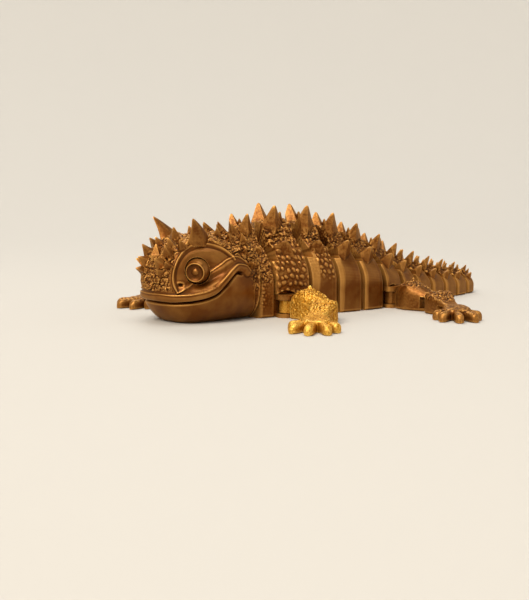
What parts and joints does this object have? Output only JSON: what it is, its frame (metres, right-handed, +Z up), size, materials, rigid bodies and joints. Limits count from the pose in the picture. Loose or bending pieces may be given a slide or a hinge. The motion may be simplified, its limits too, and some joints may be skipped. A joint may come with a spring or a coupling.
{
  "type": "articulated thorny devil toy",
  "caption": "Printed toy lizard with a spiny pinned body, a big smiling head, brow horns and four pinned legs with splayed hands, lying flat on its belly.",
  "frame": {"origin": "on the floor, under the middle of the bounding box at rest", "axes": "+X from the head towards the tail, +Y towards the animal's right side, +Z up"},
  "size_m": [0.2176, 0.1662, 0.0536],
  "materials": {
    "silk_bronze": "silk bronze filament with fine print layers",
    "silk_gold": "silk gold filament with a glittering rough top"
  },
  "bodies": {
    "chest": {"chest": "silk_bronze"},
    "neck": {"neck": "silk_bronze"},
    "head": {"head": "silk_bronze", "eye_left": "silk_bronze", "eye_right": "silk_bronze", "brow_horn_left": "silk_bronze", "brow_horn_right": "silk_bronze"},
    "back_1": {"back_1": "silk_bronze"},
    "back_2": {"back_2": "silk_bronze"},
    "back_3": {"back_3": "silk_bronze"},
    "hip": {"hip": "silk_bronze"},
    "tail_1": {"tail_1": "silk_bronze"},
    "tail_2": {"tail_2": "silk_bronze"},
    "tail_3": {"tail_3": "silk_bronze"},
    "tail_4": {"tail_4": "silk_bronze"},
    "tail_5": {"tail_5": "silk_bronze"},
    "tail_6": {"tail_6": "silk_bronze"},
    "upper_arm_left": {"upper_arm_left": "silk_gold"},
    "forearm_left": {"forearm_left": "silk_gold"},
    "hand_left": {"hand_left": "silk_gold"},
    "upper_arm_right": {"upper_arm_right": "silk_bronze"},
    "forearm_right": {"forearm_right": "silk_bronze"},
    "hand_right": {"hand_right": "silk_bronze"},
    "thigh_left": {"thigh_left": "silk_bronze"},
    "shin_left": {"shin_left": "silk_bronze"},
    "foot_left": {"foot_left": "silk_bronze"},
    "thigh_right": {"thigh_right": "silk_bronze"},
    "shin_right": {"shin_right": "silk_bronze"},
    "foot_right": {"foot_right": "silk_bronze"}
  },
  "joints": [
    {"name": "neck_yaw", "type": "hinge", "parent": "chest", "child": "neck", "pos_m": [-0.05514, -0.00142, 0.005], "axis": [0, 0, 1], "range_deg": [-10, 1]},
    {"name": "head_yaw", "type": "hinge", "parent": "neck", "child": "head", "pos_m": [-0.0651, -0.0022, 0.005], "axis": [0, 0, 1], "range_deg": [-10, 0.5]},
    {"name": "back_1_yaw", "type": "hinge", "parent": "chest", "child": "back_1", "pos_m": [-0.03513, -0.00142, 0.005], "axis": [0, 0, 1], "range_deg": [-6, 6]},
    {"name": "back_2_yaw", "type": "hinge", "parent": "back_1", "child": "back_2", "pos_m": [-0.01963, -0.00142, 0.005], "axis": [0, 0, 1], "range_deg": [-6, 6]},
    {"name": "back_3_yaw", "type": "hinge", "parent": "back_2", "child": "back_3", "pos_m": [-0.00413, -0.00142, 0.005], "axis": [0, 0, 1], "range_deg": [-7, 5]},
    {"name": "hip_yaw", "type": "hinge", "parent": "back_3", "child": "hip", "pos_m": [0.01086, -0.00116, 0.005], "axis": [0, 0, 1], "range_deg": [-8, 4]},
    {"name": "tail_1_yaw", "type": "hinge", "parent": "hip", "child": "tail_1", "pos_m": [0.02584, -0.00037, 0.005], "axis": [0, 0, 1], "range_deg": [-10, 4]},
    {"name": "tail_2_yaw", "type": "hinge", "parent": "tail_1", "child": "tail_2", "pos_m": [0.03977, 0.00109, 0.005], "axis": [0, 0, 1], "range_deg": [-12, 6]},
    {"name": "tail_3_yaw", "type": "hinge", "parent": "tail_2", "child": "tail_3", "pos_m": [0.0531, 0.0032, 0.005], "axis": [0, 0, 1], "range_deg": [-13, 7]},
    {"name": "tail_4_yaw", "type": "hinge", "parent": "tail_3", "child": "tail_4", "pos_m": [0.06581, 0.00591, 0.005], "axis": [0, 0, 1], "range_deg": [-14, 8]},
    {"name": "tail_5_yaw", "type": "hinge", "parent": "tail_4", "child": "tail_5", "pos_m": [0.07837, 0.00927, 0.005], "axis": [0, 0, 1], "range_deg": [-14.5, 9.5]},
    {"name": "tail_6_yaw", "type": "hinge", "parent": "tail_5", "child": "tail_6", "pos_m": [0.09077, 0.01318, 0.005], "axis": [0, 0, 1], "range_deg": [-14.5, 9.5]},
    {"name": "upper_arm_left_swing", "type": "hinge", "parent": "chest", "child": "upper_arm_left", "pos_m": [-0.04183, -0.02155, 0.005], "axis": [0, 0, 1], "range_deg": [-25, 12]},
    {"name": "forearm_left_swing", "type": "hinge", "parent": "upper_arm_left", "child": "forearm_left", "pos_m": [-0.03246, -0.04364, 0.005], "axis": [0, 0, 1], "range_deg": [-6, 50]},
    {"name": "hand_left_swing", "type": "hinge", "parent": "forearm_left", "child": "hand_left", "pos_m": [-0.04732, -0.05702, 0.005], "axis": [0, 0, 1], "range_deg": [-30, 20]},
    {"name": "upper_arm_right_swing", "type": "hinge", "parent": "chest", "child": "upper_arm_right", "pos_m": [-0.04183, 0.01871, 0.005], "axis": [0, 0, 1], "range_deg": [-30, 8]},
    {"name": "forearm_right_swing", "type": "hinge", "parent": "upper_arm_right", "child": "forearm_right", "pos_m": [-0.05526, 0.03861, 0.005], "axis": [0, 0, 1], "range_deg": [-60, 10]},
    {"name": "hand_right_swing", "type": "hinge", "parent": "forearm_right", "child": "hand_right", "pos_m": [-0.0738, 0.0461, 0.005], "axis": [0, 0, 1], "range_deg": [-25, 8]},
    {"name": "thigh_left_swing", "type": "hinge", "parent": "hip", "child": "thigh_left", "pos_m": [0.0241, -0.01688, 0.005], "axis": [0, 0, 1], "range_deg": [-15, 15]},
    {"name": "shin_left_swing", "type": "hinge", "parent": "thigh_left", "child": "shin_left", "pos_m": [0.03231, -0.03943, 0.005], "axis": [0, 0, 1], "range_deg": [-15, 40]},
    {"name": "foot_left_swing", "type": "hinge", "parent": "shin_left", "child": "foot_left", "pos_m": [0.02747, -0.05883, 0.005], "axis": [0, 0, 1], "range_deg": [-20, 25]},
    {"name": "thigh_right_swing", "type": "hinge", "parent": "hip", "child": "thigh_right", "pos_m": [0.02239, 0.01586, 0.005], "axis": [0, 0, 1], "range_deg": [-15, 15]},
    {"name": "shin_right_swing", "type": "hinge", "parent": "thigh_right", "child": "shin_right", "pos_m": [0.0298, 0.03868, 0.005], "axis": [0, 0, 1], "range_deg": [-40, 15]},
    {"name": "foot_right_swing", "type": "hinge", "parent": "shin_right", "child": "foot_right", "pos_m": [0.02497, 0.05809, 0.005], "axis": [0, 0, 1], "range_deg": [-25, 20]}
  ]
}
